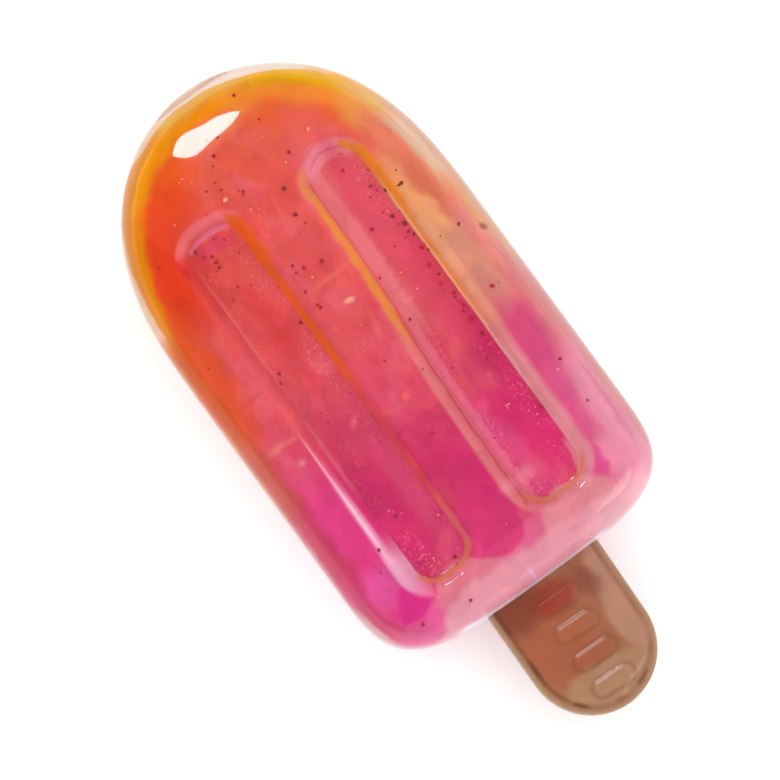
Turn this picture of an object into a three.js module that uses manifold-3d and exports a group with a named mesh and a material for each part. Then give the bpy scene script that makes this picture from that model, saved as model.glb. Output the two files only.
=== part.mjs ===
// An ice pop lying on its back: a moulded bar with two long grooves in each face, and a short wide stick.
// Millimetres. +Z is up, out of the front face. +Y points to the domed tip and -Y to the stick's free end.
// The origin is under the middle of the whole pop, on the surface that it lies on.

import * as THREE from "three";
import { mergeVertices } from "three/addons/utils/BufferGeometryUtils.js";
import Module from "manifold-3d";

const wasm = await Module();
wasm.setup();

// The bar
const barWidth = 48;
const barLength = 84.4;
const barThickness = 22; // before the resting spot is cut
const domeLength = 37; // the stretch over which the tip narrows
const domeExponents = [3.0, 1.8];
const heelLength = 16; // the stretch over which the corners at the stick's end round off
const heelExponents = [4.0, 3.8];
const tipRoundLength = 16; // how far from the tip the faces start to fall away
const heelRoundLength = 10;
const heelRoundExponent = 3.5;
const heelSkew = 0.015; // the stick's end of the bar isn't quite square to its sides
const sectionExponent = 3; // of the superellipse across the bar: 2 is an oval, and more is squarer
const restSpotDepth = 0.35; // what is cut from the back so that it lies flat
const barSides = 60;
const barRings = 30;

// The grooves, two in each face
const grooveWidth = 10.4;
const grooveDepth = 3;
const grooveOffset = 9.9; // from the bar's middle to a groove's middle
const grooveTipGap = 18; // from the tip to a groove's nearer end
const grooveHeelGap = 7; // from the stick's end of the bar to a groove's nearer end
const grooveLean = 1.6; // how far the right grooves' inner walls have come to the middle at the stick's end
const grooveFillet = 1.2; // between a groove's wall and its floor
const grooveTilt = THREE.MathUtils.degToRad(5); // the floor follows the crown of the face
const grooveEndSteps = 8;

// The stick
const stickWidth = 18.6;
const stickThickness = 4.8;
const stickShown = 21.1; // what stands out of the bar
const stickSunk = 28; // what is frozen in
const stickEdge = 1.3; // the rounding along its edges
const stickLean = THREE.MathUtils.degToRad(1.5); // it sits a little askew
const stickTuckCorner = 3;
const socketGap = 0.3;

// The plain raised ribs on the stick's front face
const ribCount = 4;
const ribLength = 6.6;
const ribWidth = 2.5;
const ribHeight = 0.5; // above the face
const ribSink = 0.6; // below the face, to join the rib to the stick
const ribPitch = 4.5;
const ribFirst = 3.6; // from the bar's end to the first rib's middle

const totalLength = barLength + stickShown;
const tipY = totalLength / 2;
const heelY = tipY - barLength;
const middleZ = barThickness / 2 - restSpotDepth;

// Half-widths and half-thicknesses of the bar, as shares of the full ones, at a distance from the tip.
const falling = (share, power, root) => (1 - share ** power) ** (1 / root);
const clamp01 = (x) => THREE.MathUtils.clamp(x, 0, 1);

function widthShare(fromTip) {
  const dome = falling(clamp01(1 - fromTip / domeLength), ...domeExponents);
  const heel = falling(clamp01((fromTip - barLength + heelLength) / heelLength), ...heelExponents);
  return dome * heel;
}

function thicknessShare(fromTip) {
  const tip = falling(clamp01(1 - fromTip / tipRoundLength), 2, 2);
  const heel = clamp01((fromTip - barLength + heelRoundLength) / heelRoundLength);
  return tip * falling(heel, 2, heelRoundExponent);
}

// A closed loft of superellipse rings from the tip to the heel, with one point at each end.
function barGeometry() {
  const points = [0, tipY, 0];
  for (let ring = 1; ring < barRings; ring++) {
    const fromTip = (barLength / 2) * (1 - Math.cos((Math.PI * ring) / barRings));
    const halfWidth = (barWidth / 2) * widthShare(fromTip);
    const halfThickness = (barThickness / 2) * thicknessShare(fromTip);
    for (let side = 0; side < barSides; side++) {
      const angle = (2 * Math.PI * side) / barSides;
      const [c, s] = [Math.cos(angle), Math.sin(angle)];
      const x = halfWidth * Math.sign(c) * Math.abs(c) ** (2 / sectionExponent);
      const z = halfThickness * Math.sign(s) * Math.abs(s) ** (2 / sectionExponent);
      points.push(x, tipY - fromTip - heelSkew * x * (fromTip / barLength), z);
    }
  }
  points.push(0, heelY, 0);

  const faces = [];
  const last = points.length / 3 - 1;
  const at = (ring, side) => 1 + (ring - 1) * barSides + (side % barSides);
  for (let side = 0; side < barSides; side++) {
    faces.push(0, at(1, side + 1), at(1, side));
    for (let ring = 1; ring < barRings - 1; ring++) {
      const [a, b] = [at(ring, side), at(ring, side + 1)];
      const [c, d] = [at(ring + 1, side), at(ring + 1, side + 1)];
      faces.push(a, b, d, a, d, c);
    }
    faces.push(last, at(barRings - 1, side), at(barRings - 1, side + 1));
  }
  const geometry = new THREE.BufferGeometry();
  geometry.setAttribute("position", new THREE.Float32BufferAttribute(points, 3));
  geometry.setIndex(faces);
  return geometry;
}

// A three.js geometry as a manifold solid, and back.
function solidOf(geometry, matrix = new THREE.Matrix4()) {
  const bare = geometry.clone().applyMatrix4(matrix);
  bare.deleteAttribute("normal");
  bare.deleteAttribute("uv");
  const merged = mergeVertices(bare, 1e-4);
  const vertProperties = new Float32Array(merged.attributes.position.array);
  const triVerts = new Uint32Array(merged.index.array);
  return new wasm.Manifold(new wasm.Mesh({ numProp: 3, vertProperties, triVerts }));
}

function geometryOf(solid) {
  const { vertProperties, triVerts } = solid.getMesh();
  const geometry = new THREE.BufferGeometry();
  geometry.setAttribute("position", new THREE.BufferAttribute(vertProperties, 3));
  geometry.setIndex(new THREE.BufferAttribute(triVerts, 1));
  const faceted = geometry.toNonIndexed();
  faceted.computeVertexNormals();
  return faceted;
}

// A long slot with half-round ends, along Y and centred on the origin. A lean above 0 moves its +X side out by
// that much at the -Y end, and one below 0 its -X side.
function slotShape(width, length, endSteps, lean = 0) {
  const radius = width / 2;
  const reach = length / 2 - radius;
  const shape = new THREE.Shape();
  for (let i = 0; i <= 2 * endSteps + 1; i++) {
    const farEnd = i > endSteps;
    const angle = (Math.PI * (farEnd ? i - 1 : i)) / endSteps;
    const y = radius * Math.sin(angle) + (farEnd ? -reach : reach);
    const leaned = Math.cos(angle) * lean > 0 ? Math.abs(lean) * clamp01((reach - y) / (2 * reach)) : 0;
    const x = (radius + leaned) * Math.cos(angle);
    if (i) shape.lineTo(x, y);
    else shape.moveTo(x, y);
  }
  shape.closePath();
  return shape;
}

// What is cut from the bar for one groove. side is 1 or -1 across the bar, and face 1 in front or -1 behind.
function grooveCutter(side, face) {
  const length = barLength - grooveTipGap - grooveHeelGap;
  const lean = side > 0 ? -face * grooveLean : 0;
  const shape = slotShape(grooveWidth - 2 * grooveFillet, length - 2 * grooveFillet, grooveEndSteps, lean);
  const geometry = new THREE.ExtrudeGeometry(shape, {
    depth: barThickness,
    bevelThickness: grooveFillet,
    bevelSize: grooveFillet,
    bevelSegments: 3,
  });
  geometry.translate(0, 0, grooveFillet);
  const floor = (barThickness / 2) * falling((2 * grooveOffset) / barWidth, sectionExponent, sectionExponent);
  const place = new THREE.Object3D();
  place.position.set(
    side * grooveOffset,
    tipY - grooveTipGap - length / 2,
    face * (floor - grooveDepth),
  );
  place.rotation.y = side * face * grooveTilt + (face < 0 ? Math.PI : 0);
  place.updateMatrix();
  return solidOf(geometry, place.matrix);
}

// The stick's plate: a half-round free end, straight sides and a squarer end inside the bar. grow thickens it all round.
function stickPlate(grow) {
  const inset = stickWidth / 2 - stickEdge;
  const corner = stickTuckCorner - stickEdge;
  const free = -stickShown + stickWidth / 2;
  const sunk = stickSunk - stickEdge;
  const shape = new THREE.Shape();
  shape.moveTo(inset, free);
  shape.lineTo(inset, sunk - corner);
  shape.absarc(inset - corner, sunk - corner, corner, 0, Math.PI / 2);
  shape.lineTo(corner - inset, sunk);
  shape.absarc(corner - inset, sunk - corner, corner, Math.PI / 2, Math.PI);
  shape.lineTo(-inset, free);
  shape.absarc(0, free, inset, Math.PI, 2 * Math.PI);
  const geometry = new THREE.ExtrudeGeometry(shape, {
    depth: stickThickness - 2 * stickEdge,
    bevelThickness: stickEdge + grow,
    bevelSize: stickEdge + grow,
    bevelSegments: 3,
    curveSegments: 20,
  });
  return geometry.translate(0, 0, -stickThickness / 2 + stickEdge);
}

// The stick's place: on the bar's middle plane, turned a little about the middle of the bar's end.
function stickMatrix() {
  const turn = new THREE.Matrix4().makeRotationZ(-stickLean);
  return turn.setPosition(0, heelY, 0);
}

function stickSolid() {
  let solid = solidOf(stickPlate(0));
  const bevel = { bevelThickness: ribHeight, bevelSize: ribHeight, bevelSegments: 2 };
  const outline = slotShape(ribWidth - 2 * ribHeight, ribLength - 2 * ribHeight, 6);
  const rib = new THREE.ExtrudeGeometry(outline, { depth: ribSink, ...bevel });
  rib.rotateZ(Math.PI / 2);
  for (let i = 0; i < ribCount; i++) {
    const z = stickThickness / 2 - ribSink;
    const place = new THREE.Matrix4().makeTranslation(0, -ribFirst - i * ribPitch, z);
    solid = solid.add(solidOf(rib, place));
  }
  return solid.transform(stickMatrix().elements);
}

function barSolid() {
  let solid = solidOf(barGeometry());
  for (const side of [-1, 1]) {
    for (const face of [-1, 1]) {
      solid = solid.subtract(grooveCutter(side, face));
    }
  }
  solid = solid.subtract(solidOf(stickPlate(socketGap), stickMatrix()));
  const below = new THREE.BoxGeometry(2 * barWidth, 2 * barLength, barThickness);
  const drop = new THREE.Matrix4().makeTranslation(0, tipY - barLength / 2, -middleZ - barThickness / 2);
  return solid.subtract(solidOf(below, drop));
}

function node(name, solid, color, roughness) {
  const material = new THREE.MeshStandardMaterial({ color, roughness, metalness: 0 });
  const mesh = new THREE.Mesh(geometryOf(solid), material);
  mesh.name = name;
  return mesh;
}

const icePop = new THREE.Group();
icePop.add(node("ice_bar", barSolid(), 0xdd5262, 0.12));
icePop.add(node("stick", stickSolid(), 0xb07455, 0.3));
icePop.position.z = middleZ;

export default icePop;
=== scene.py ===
import math
import random

import bmesh
import bpy
import numpy as np
from mathutils import Matrix, Vector, noise
from mathutils.bvhtree import BVHTree


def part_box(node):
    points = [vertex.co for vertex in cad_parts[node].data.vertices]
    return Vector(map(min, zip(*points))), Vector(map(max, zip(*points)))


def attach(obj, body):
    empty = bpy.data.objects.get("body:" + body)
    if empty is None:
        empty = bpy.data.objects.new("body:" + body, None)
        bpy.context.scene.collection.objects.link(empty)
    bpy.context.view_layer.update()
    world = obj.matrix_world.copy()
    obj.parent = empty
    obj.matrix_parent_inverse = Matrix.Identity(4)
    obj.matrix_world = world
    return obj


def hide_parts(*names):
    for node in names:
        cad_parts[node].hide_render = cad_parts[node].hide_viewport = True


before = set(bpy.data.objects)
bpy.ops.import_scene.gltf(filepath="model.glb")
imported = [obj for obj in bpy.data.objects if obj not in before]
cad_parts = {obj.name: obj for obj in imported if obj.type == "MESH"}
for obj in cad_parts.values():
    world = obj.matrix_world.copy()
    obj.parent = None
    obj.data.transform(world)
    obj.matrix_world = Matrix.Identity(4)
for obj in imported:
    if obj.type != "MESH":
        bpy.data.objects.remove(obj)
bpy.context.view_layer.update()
mm = 0.001

# The pop lies on its back: +Y is the domed tip, -Y the stick's free end, +Z out of the front face.
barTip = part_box("ice_bar")[1].y


def linearColour(hexValue):
    # sRGB hex to linear RGBA
    channels = [int(hexValue[i:i + 2], 16) / 255 for i in (1, 3, 5)]
    return [c / 12.92 if c <= 0.04045 else ((c + 0.055) / 1.055) ** 2.4 for c in channels] + [1.0]


def addNode(tree, kind, settings=None, links=None):
    # one node with its properties, socket values and incoming links
    node = tree.nodes.new(kind)
    for name, value in (settings or {}).items():
        if isinstance(name, str) and hasattr(node, name):
            setattr(node, name, value)
        else:
            node.inputs[name].default_value = value
    for name, socket in (links or {}).items():
        tree.links.new(socket, node.inputs[name])
    return node


def newMaterial(name):
    material = bpy.data.materials.new(name)
    material.use_nodes = True
    material.node_tree.nodes.clear()
    return material, material.node_tree


def finishMaterial(tree, surface):
    addNode(tree, "ShaderNodeOutputMaterial", links={"Surface": surface.outputs["BSDF"]})


def meshPiece(name, points, faces, material, smooth=True, fields=None):
    mesh = bpy.data.meshes.new(name)
    mesh.from_pydata(points, [], faces)
    for fieldName, values in (fields or {}).items():
        mesh.attributes.new(fieldName, "FLOAT", "POINT").data.foreach_set("value", values)
    mesh.materials.append(material)
    if smooth:
        mesh.shade_smooth()
    piece = bpy.data.objects.new(name, mesh)
    bpy.context.scene.collection.objects.link(piece)
    return piece


# the bar's form, as it left the mould
bar = {
    "width": 48 * mm,
    "length": 84.4 * mm,
    "thickness": 22 * mm,
    "domeLength": 37 * mm,
    "domeExponents": (3.0, 1.8),
    "heelLength": 16 * mm,
    "heelExponents": (4.0, 3.8),
    "tipRound": 16 * mm,
    "heelRound": 10 * mm,
    "heelRoundExponent": 3.5,
    "section": 3.0,
    "heelSkew": 0.005,
    "heelSwell": 0.22 * mm,   # the end bulges a little round the stick
    "heelSwellPower": 12,     # more keeps the bulge nearer the end
    "restCut": 0.35 * mm,
    "wobble": 0.06 * mm,      # how far the moulded faces wander
    "wobbleSize": 9 * mm,
}
bar["tipY"] = barTip
bar["heelY"] = bar["tipY"] - bar["length"]
bar["middleZ"] = bar["thickness"] / 2 - bar["restCut"]

groove = {
    "halfWidth": 5.2 * mm,
    "tipGap": 18 * mm,
    "heelGap": 7 * mm,
    "offset": 9.9 * mm,
    "depth": 3.0 * mm,
    "corner": 4.2 * mm,
    "arch": 5.2 * mm,         # the corners at the right grooves' tip ends
    "wall": 1.6 * mm,         # how far the wall takes to reach the floor
    "lip": 0.8 * mm,          # the rounding outside the wall's top edge
    "lipSoftness": 1.25,      # more makes the lip rounder and the floor's corner tighter
    "lean": 1.6 * mm,         # the right grooves' inner walls lean to the middle
    "leanFrom": 26 * mm,
    "leanTo": 70 * mm,
}


def falling(share, power, root):
    return (1 - np.clip(share, 0, 1) ** power) ** (1 / root)


def widthShare(fromTip):
    dome = falling(1 - fromTip / bar["domeLength"], *bar["domeExponents"])
    heel = (fromTip - bar["length"] + bar["heelLength"]) / bar["heelLength"]
    return dome * falling(heel, *bar["heelExponents"])


def thicknessShare(fromTip):
    tip = falling(1 - fromTip / bar["tipRound"], 2, 2)
    heel = (fromTip - bar["length"] + bar["heelRound"]) / bar["heelRound"]
    return tip * falling(heel, 2, bar["heelRoundExponent"])


def grooveWidening(x, fromTip):
    leaned = np.clip((fromTip - groove["leanFrom"]) / (groove["leanTo"] - groove["leanFrom"]), 0, 1)
    return groove["lean"] / 2 * leaned * leaned * (3 - 2 * leaned) * (x > 0)


def grooveDistance(x, fromTip, grow):
    # how far a point lies outside the nearer groove's outline, which grow widens
    halfLength = (bar["length"] - groove["tipGap"] - groove["heelGap"]) / 2
    widening = grooveWidening(x, fromTip)
    bend = np.where((x > 0) & (fromTip < bar["domeLength"]), groove["arch"], groove["corner"])
    corner = bend + grow + widening
    qx = np.abs(np.abs(x) - groove["offset"] + widening) - (groove["halfWidth"] - bend)
    qy = np.abs(fromTip - groove["tipGap"] - halfLength) - (halfLength + grow - corner)
    outside = np.hypot(np.maximum(qx, 0), np.maximum(qy, 0))
    return outside + np.minimum(np.maximum(qx, qy), 0) - corner


def grooveAcross(x, fromTip):
    # millimetres from the nearer groove's middle, as in a groove that doesn't lean
    widening = grooveWidening(x, fromTip)
    across = (np.abs(x) - groove["offset"] + widening) * groove["halfWidth"]
    return across / (groove["halfWidth"] + widening) * np.sign(x) / mm


def spaced(values, weight, count):
    # count of the values, closer together where weight is large
    total = np.concatenate([[0], np.cumsum((weight[1:] + weight[:-1]) / 2)])
    return np.interp(np.linspace(0, total[-1], count), total, values)


def bump(values, centre, width):
    return np.exp(-((values - centre) / width) ** 2)


def sectionPoint(angle):
    # a point of the superellipse across the bar, with half-sizes of 1
    x = np.sign(np.cos(angle)) * np.abs(np.cos(angle)) ** (2 / bar["section"])
    return x, np.sign(np.sin(angle)) * np.abs(np.sin(angle)) ** (2 / bar["section"])


# how much closer together the points lie at some places, and over what width
closer = {
    "innerWall": (2.5, 1.4 * mm), "outerWall": (2.5, 1.6 * mm), "endWall": (2.5, 1.6 * mm),
    "tip": (6, 3 * mm), "heel": (8, 2 * mm),
    "wallMiddle": 0.4 * mm,   # inside a groove's outline
    "stepsRound": 8001, "stepsAlong": 4000,   # of the curves that the points are spaced out on
}


def crowd(values, centre, kind):
    amount, width = closer[kind]
    return amount * bump(values, centre, width)


def barGrid(form):
    # rows of rings from tip to heel, with more points across the groove walls and at both ends
    halfWidth = bar["width"] / 2
    halfThickness = bar["thickness"] / 2
    wallMiddle = closer["wallMiddle"]
    fine = np.linspace(0, 2 * np.pi, closer["stepsRound"])
    x, z = sectionPoint(fine)
    arc = np.hypot(np.gradient(x * halfWidth), np.gradient(z * halfThickness))
    across = np.abs(x * halfWidth)
    walls = crowd(across, groove["offset"] - groove["halfWidth"] + wallMiddle, "innerWall")
    walls += crowd(across, groove["offset"] + groove["halfWidth"] - wallMiddle, "outerWall")
    unitX, unitZ = sectionPoint(spaced(fine, arc * (1 + walls), form["sides"] + 1)[:-1])

    share = np.linspace(0, 1, closer["stepsAlong"])
    fromTip = bar["length"] * share
    ends = crowd(fromTip, 0, "tip") + crowd(fromTip, bar["length"], "heel")
    walls = crowd(fromTip, groove["tipGap"] + wallMiddle, "endWall")
    walls += crowd(fromTip, bar["length"] - groove["heelGap"] - wallMiddle, "endWall")
    shares = spaced(share, 1 + ends + walls, form["rings"] + 1)[1:-1, None]

    fromTip = shares * bar["length"]
    x = halfWidth * widthShare(fromTip) * unitX
    z = halfThickness * thicknessShare(fromTip) * unitZ
    y = bar["tipY"] - fromTip - bar["heelSkew"] * x * shares
    y -= bar["heelSwell"] * shares ** bar["heelSwellPower"]
    return np.stack([x, y, z], -1)


def sunk(grid, insets):
    # the same grid moved inwards along its normals, by an inset for each way that a point can face
    aroundRing = np.roll(grid, -1, 1) - np.roll(grid, 1, 1)
    normal = np.cross(aroundRing, np.gradient(grid, axis=0))
    normal /= np.linalg.norm(normal, axis=-1, keepdims=True)
    x, y, z = np.moveaxis(normal, -1, 0)
    side = np.where(x < 0, insets["left"], insets["right"]) * x * x
    end = np.where(y < 0, insets["heel"], insets["tip"]) * y * y
    return grid - normal * (side + end + insets["face"] * z * z)[..., None]


def barMesh(form):
    # the closed bar, its grooves pressed into both faces, with each point's place by the nearer groove
    grid = barGrid(form)
    insets = form["insets"]
    if any(insets.values()):
        grid = sunk(grid, insets)
    x, y, z = np.moveaxis(grid, -1, 0)
    distance = grooveDistance(x, bar["tipY"] - y, form["grooveGrow"])
    across = grooveAcross(x, bar["tipY"] - y)
    run = np.clip((groove["lip"] - distance) / (groove["wall"] + groove["lip"]), 0, 1)
    run **= groove["lipSoftness"]
    # nothing is pressed within a sixth of the thickness from the middle plane, and all of it from a third on
    onFace = np.clip(np.abs(z) / bar["thickness"] * 6 - 1, 0, 1)
    pressed = run * run * (3 - 2 * run) * onFace
    z = z - np.sign(z) * pressed * groove["depth"]
    tip = [0, bar["tipY"] - insets["tip"], 0]
    heel = [0, bar["heelY"] + insets["heel"], 0]
    points = np.vstack([tip, np.stack([x, y, z], -1).reshape(-1, 3), heel])
    fields = {"grooveEdge": np.concatenate([[1], distance.ravel() / mm, [1]]),
              "grooveAcross": np.concatenate([[0], across.ravel(), [0]])}

    sides = form["sides"]
    ringStarts = 1 + sides * np.arange(len(grid))
    around = np.arange(sides)
    onward = (around + 1) % sides
    faces = [(0, ringStarts[0] + b, ringStarts[0] + a) for a, b in zip(around, onward)]
    for here, there in zip(ringStarts[:-1], ringStarts[1:]):
        faces += [(here + a, here + b, there + b, there + a) for a, b in zip(around, onward)]
    faces += [(len(points) - 1, ringStarts[-1] + a, ringStarts[-1] + b) for a, b in zip(around, onward)]
    return wander(points), faces, fields


def wander(points):
    # the faces of a poured and chilled bar are never quite flat
    for point in points:
        point[2] += noise.noise(Vector(point) / bar["wobbleSize"]) * bar["wobble"]
    points[:, 2] = np.maximum(points[:, 2], bar["restCut"] - bar["thickness"] / 2)
    points[:, 2] += bar["middleZ"]
    return points


def placeInMm(tree, originY):
    # millimetres across, from originY towards the stick's free end, and above the middle plane
    place = addNode(tree, "ShaderNodeTexCoord").outputs["Object"]
    moved = addNode(tree, "ShaderNodeVectorMath", {
        "operation": "SUBTRACT", 1: (0, originY, bar["middleZ"])}, {0: place})
    scaled = addNode(tree, "ShaderNodeVectorMath", {
        "operation": "MULTIPLY", 1: (1 / mm, -1 / mm, 1 / mm)}, {0: moved.outputs[0]})
    return scaled.outputs[0]


def stirred(tree, place, amount, size):
    # the same place pushed about by smooth noise, so that colours meet along uneven lines
    wave = addNode(tree, "ShaderNodeTexNoise", {"Scale": 1 / size, "Detail": 2.0}, {"Vector": place})
    push = addNode(tree, "ShaderNodeVectorMath", {
        "operation": "MULTIPLY_ADD", 1: (2 * amount,) * 3, 2: (-amount,) * 3}, {0: wave.outputs["Color"]})
    moved = addNode(tree, "ShaderNodeVectorMath", {"operation": "ADD"}, {0: place, 1: push.outputs[0]})
    return moved.outputs[0]


def laidOver(tree, colour, mask, hexValue):
    # the colour with another one laid over it where the mask says
    mix = addNode(tree, "ShaderNodeMix", {"data_type": "RGBA", 7: linearColour(hexValue)},
                  {"Factor": mask, 6: colour})
    return mix.outputs[2]


def rampAlong(tree, value, stops, length):
    # a colour ramp over length, with its stops in the same unit as value
    share = addNode(tree, "ShaderNodeMath", {"operation": "DIVIDE", 1: length}, {0: value})
    ramp = addNode(tree, "ShaderNodeValToRGB", links={"Fac": share.outputs[0]})
    elements = ramp.color_ramp.elements
    while len(elements) < len(stops):
        elements.new(0.5)
    for element, stop in zip(elements, stops):
        element.position = stop[0] / length
    # placing them can change their order, so the colours come after
    for element, stop in zip(elements, stops):
        element.color = linearColour(stop[1])
    return ramp.outputs["Color"]


def paintZones(tree, place, colour, zones):
    # soft-edged ovals of colour, each laid over the ones before
    for hexValue, centre, halfSize, turn, edge, strength in zones:
        flattening = [0] * (3 - len(halfSize))
        gap = addNode(tree, "ShaderNodeVectorMath", {
            "operation": "SUBTRACT", 1: [*centre, *flattening]}, {0: place})
        if turn:
            gap = addNode(tree, "ShaderNodeVectorRotate", {
                "rotation_type": "Z_AXIS", "Angle": math.radians(turn)}, {"Vector": gap.outputs[0]})
        scaled = addNode(tree, "ShaderNodeVectorMath", {
            "operation": "MULTIPLY", 1: [1 / size for size in halfSize] + flattening}, {0: gap.outputs[0]})
        reach = addNode(tree, "ShaderNodeVectorMath", {"operation": "LENGTH"}, {0: scaled.outputs[0]})
        blur = edge / min(halfSize) / 2
        mask = addNode(tree, "ShaderNodeMapRange", {
            "interpolation_type": "SMOOTHSTEP", "From Min": 1 + blur, "From Max": max(1 - blur, 0),
            "To Max": strength}, {"Value": reach.outputs["Value"]})
        colour = laidOver(tree, colour, mask.outputs["Result"], hexValue)
    return colour


def between(tree, value, low, high, fade):
    # 1 where value lies between low and high, with soft ends
    half = (high - low) / 2
    gap = addNode(tree, "ShaderNodeMath", {"operation": "SUBTRACT", 1: low + half}, {0: value})
    reach = addNode(tree, "ShaderNodeMath", {"operation": "ABSOLUTE"}, {0: gap.outputs[0]})
    mask = addNode(tree, "ShaderNodeMapRange", {
        "interpolation_type": "SMOOTHSTEP", "From Min": half + fade / 2, "From Max": half - fade / 2},
        {"Value": reach.outputs[0]})
    return mask.outputs["Result"]


def whereAll(tree, masks, strength=1.0):
    # one mask for where all of them hold
    whole = masks[0]
    for mask in masks[1:]:
        whole = addNode(tree, "ShaderNodeMath", {"operation": "MULTIPLY"}, {0: whole, 1: mask}).outputs[0]
    return addNode(tree, "ShaderNodeMath", {"operation": "MULTIPLY", 1: strength}, {0: whole}).outputs[0]


print("forms ready")

# Clear skin: fruit gel that set against a polished mould, so it is glassy and bends what shows through it.
skin = {
    "sides": 360, "rings": 250, "grooveGrow": 0,
    "insets": {"left": 0, "right": 0, "tip": 0, "heel": 0, "face": 0},
    "ior": 1.31, "roughness": 0.02, "tint": "#fff6f3",
}


def clearGel():
    material, tree = newMaterial("clear fruit gel")
    surface = addNode(tree, "ShaderNodeBsdfPrincipled", {
        "Base Color": linearColour(skin["tint"]), "Roughness": skin["roughness"],
        "IOR": skin["ior"], "Transmission Weight": 1.0,
    })
    finishMaterial(tree, surface)
    return material


points, faces, fields = barMesh(skin)
barSkin = meshPiece("bar_skin", points, faces, clearGel())
barSkin.visible_shadow = False
barSkin.visible_diffuse = False
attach(barSkin, "root")
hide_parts("ice_bar")
print("clear skin ready")

# Cloudy heart: fruit gel poured in colours that bled into each other, seen through the skin. Light goes a
# little way into it, so that its colours glow and their edges are soft.
heart = {
    "sides": 280, "rings": 200, "grooveGrow": 0.5 * mm,
    "insets": {
        "left": 2.5 * mm, "right": 3.0 * mm, "tip": 3.0 * mm, "heel": 0.9 * mm, "face": 1.3 * mm,
    },
    "stir": 1.5, "stirSize": 5,                # mm: how far and how finely the colours are stirred
    "lineStir": 0.3, "lineStirSize": 2.5,      # the same for the lines along the grooves
    "cloud": 0.12, "cloudSize": 4,             # how much and how finely it turns lighter and darker
    "facet": 0.09, "facetSize": 2.6,           # crystals of frozen juice
    "shade": 0.92,
    "frost": "#efa0a6", "frostSize": 0.55,     # pale crystals on the groove floors, size in mm
    "frostGrain": (0.52, 0.78), "frostStrength": 0.42,
    "frostDriftSize": 5, "frostDrift": (0.42, 0.6), "frostThinnest": 0.1,
    "frostPlace": (-4.5, -1.9, 1.2),           # mm outside a groove's outline, and the fade
    "softness": 0.9 * mm,                      # how far light goes in, and red the farthest
    "reddening": (1.0, 0.45, 0.4),
}
rimFoot = -4.8   # mm above the middle plane: the bands end there, and the back keeps its own colours

# colours down the middle: mm from the tip
heartMiddle = [
    (6, "#e66c42"), (18, "#e05c54"), (30, "#df5c5e"), (44, "#dc5866"), (53, "#da5072"),
    (60, "#d03e6e"), (70, "#d63c78"), (78, "#dc5088"),
]

# patches over them: colour, centre (mm across and from the tip), half-sizes, turn in degrees, edge and
# strength. They go right through the bar, but for those that have a height above the middle plane too.
heartPatches = [
    ("#da3e12", (-18.5, 20), (5.5, 10), 0, 6, 0.95),
    ("#e45c10", (-12, 9), (6, 5), 0, 5, 0.9),
    ("#e0481e", (-13, 13.5), (4.5, 3.5), 0, 4, 0.8),
    ("#e4642c", (11.5, 12), (7, 6), 0, 6, 0.9),
    ("#ea8a60", (0, 8.6), (4.4, 1.5), 0, 2, 0.6),
    ("#e2661a", (10.2, 10), (4.4, 1.5), -25, 2.4, 0.8),
    ("#e68c2c", (13.6, 12), (7, 1.7), -45, 2.4, 0.85),
    ("#de9048", (18, 16.8), (3.2, 4), 0, 3, 0.9),
    ("#d8541c", (-21.6, 35), (3, 13), 0, 2.4, 0.8),
    ("#e26a74", (9.2, 29), (4.8, 16), 0, 4, 0.75),
    # the beige patches down the right side are painted light coming through the rounded edge
    ("#db8062", (19.8, 27), (4.4, 10), 0, 3, 0.9),
    ("#d8837a", (19.8, 43), (4.4, 8), 0, 3, 0.9),
    ("#cc6e54", (18.3, 30.5), (1.1, 4.6), 0, 1.2, 0.7),
    ("#e4a670", (16.3, 36.5), (1.7, 11.5), 5, 1.6, 0.95),
    ("#d58f7e", (17.7, 44), (2.0, 6.5), 8, 1.5, 0.85),
    ("#c8807a", (17.2, 48.6), (1.7, 4.0), 0, 1.6, 0.65),
    ("#d83c40", (-10, 34.5), (2.4, 7), 0, 3, 0.5),
    ("#ce4068", (-11, 57), (4.5, 9), 0, 5, 0.75),
    ("#d32c76", (-12.6, 66), (2.6, 9), 0, 3, 0.8),
    ("#cc3058", (12.6, 43), (2.2, 8), 0, 3, 0.65),
    ("#c82868", (13.0, 56), (2.4, 7), 0, 4, 0.85),
    ("#da3078", (11, 66.5), (4.2, 6), 0, 4, 0.8),
    ("#e05c90", (6.5, 68), (1.8, 8), 0, 2, 0.6),
    ("#da5584", (-8, 63), (1.4, 9), 0, 2, 0.6),
    ("#de448c", (-18.3, 66), (4.6, 11), 0, 5, 0.9),
    ("#dc5ca2", (-17.5, 72.8), (3.8, 3), 0, 3, 0.75),
    ("#d15083", (17.8, 58.4), (2.8, 6.8), 0, 3, 0.9),
    ("#cb6e7e", (22, 57), (2.4, 9), 0, 2.5, 0.85),
    ("#e292aa", (22, 73), (4.6, 12), 3, 2.5, 0.95),
    ("#dc6094", (16.6, 69), (1.6, 8), -6, 1.5, 0.85),
    ("#e490ac", (19, 77.5), (3.6, 4.4), 0, 2, 0.9),
    ("#e2709a", (0, 79.6), (5.5, 2.8), 0, 1.4, 0.9),
    ("#da8092", (-9, 79.6), (5.2, 3.6), 0, 1.0, 0.95),
    ("#dc8e98", (9.5, 79.6), (5.6, 3.8), 0, 1.0, 0.95),
    ("#e59cac", (1, 88.8), (34, 9.3), 0, 1.6, 1.0),
    ("#eaaeb8", (16, 83), (7, 3.4), 0, 2.5, 0.8),
    ("#e2649c", (-17.8, 80.4), (4.0, 2.2), 12, 0.8, 0.95),
    ("#da4280", (-2.2, 74.2), (4.6, 4.6), 0, 0.8, 0.9),
    ("#de3290", (-16.7, 77.0), (2.6, 2.2), 20, 1.0, 0.9),
    ("#dc5896", (14.8, 75.8), (1.8, 2.3), -20, 0.8, 0.9),
    ("#d63078", (0, 66), (4, 6), 0, 4, 0.6),
]

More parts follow.
